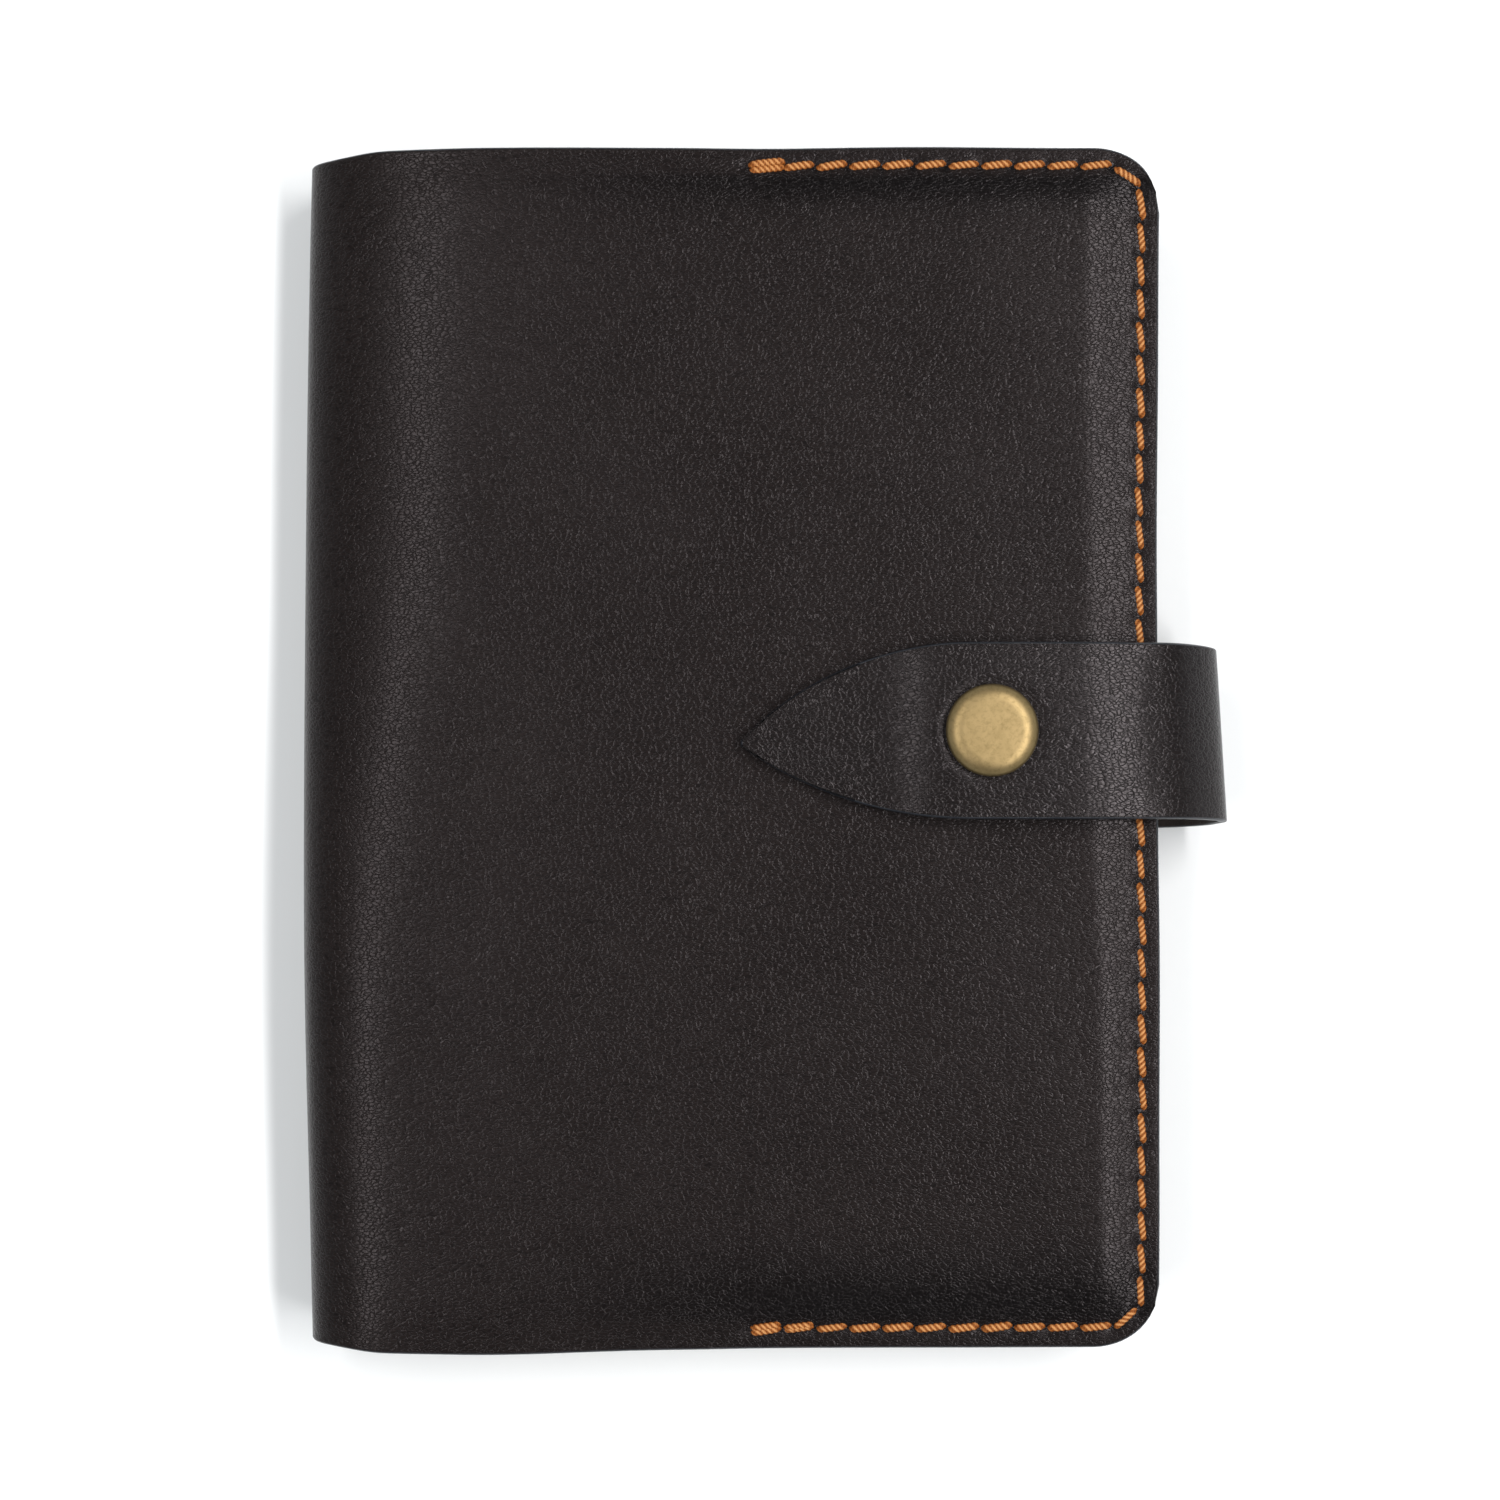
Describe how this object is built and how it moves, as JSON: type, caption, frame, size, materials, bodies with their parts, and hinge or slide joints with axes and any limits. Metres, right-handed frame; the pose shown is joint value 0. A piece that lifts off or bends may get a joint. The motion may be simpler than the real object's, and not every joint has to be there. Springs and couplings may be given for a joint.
{
  "type": "leather notebook cover",
  "caption": "Stitched leather cover with a snap strap round a small sewn notebook; the cover and the strap both open.",
  "frame": {"origin": "middle of the bounding box, at the height of the face it lies on", "axes": "+X from the spine to the fore edge and the strap, +Y from the tail to the head, +Z out of the front cover"},
  "size_m": [0.128, 0.164, 0.024],
  "materials": {
    "leather": "fine pebbled grain, soft sheen",
    "pocket_leather": "smooth",
    "stitching": "waxed twisted thread",
    "antique_brass": "antiqued",
    "spring_wire": "drawn wire",
    "cover_card": "uncoated",
    "page_paper": "uncoated",
    "lining_paper": "kraft, glued down",
    "sewing_thread": "linen"
  },
  "bodies": {
    "back": {"back_panel": "leather", "back_pocket": "pocket_leather", "back_seam_thread": "stitching", "strap_root": "leather", "strap_anchor_thread": "stitching", "notebook_back_cover": "cover_card", "signature_1": "page_paper", "signature_2": "page_paper", "signature_3": "page_paper", "signature_4": "page_paper", "signature_5": "page_paper", "signature_6": "page_paper", "rear_flyleaf": "page_paper", "front_flyleaf": "page_paper", "spine_lining": "lining_paper", "sewing_thread": "sewing_thread"},
    "spine": {"spine_leather": "leather", "notebook_spine_cover": "cover_card"},
    "front": {"front_panel": "leather", "front_pocket": "pocket_leather", "front_seam_thread": "stitching", "notebook_front_cover": "cover_card", "snap_stud": "antique_brass", "snap_eyelet": "antique_brass"},
    "loop": {"strap_loop": "leather"},
    "tab": {"strap_tab": "leather", "snap_cap": "antique_brass", "snap_socket": "antique_brass", "snap_spring": "spring_wire"}
  },
  "joints": [
    {"name": "spine_rear_fold", "type": "hinge", "parent": "back", "child": "spine", "pos_m": [-0.0618, 0, 0.0022], "axis": [0, -1, 0], "range_deg": [0, 90]},
    {"name": "spine_front_fold", "type": "hinge", "parent": "spine", "child": "front", "pos_m": [-0.0618, 0, 0.0158], "axis": [0, -1, 0], "range_deg": [0, 88.8]},
    {"name": "strap_lower_bend", "type": "hinge", "parent": "back", "child": "loop", "pos_m": [0.06136, 0.0024, 0.00466], "axis": [0, 1, 0], "range_deg": [0, 90]},
    {"name": "strap_upper_bend", "type": "hinge", "parent": "loop", "child": "tab", "pos_m": [0.06136, 0.0024, 0.01956], "axis": [0, 1, 0], "range_deg": [0, 90]}
  ]
}
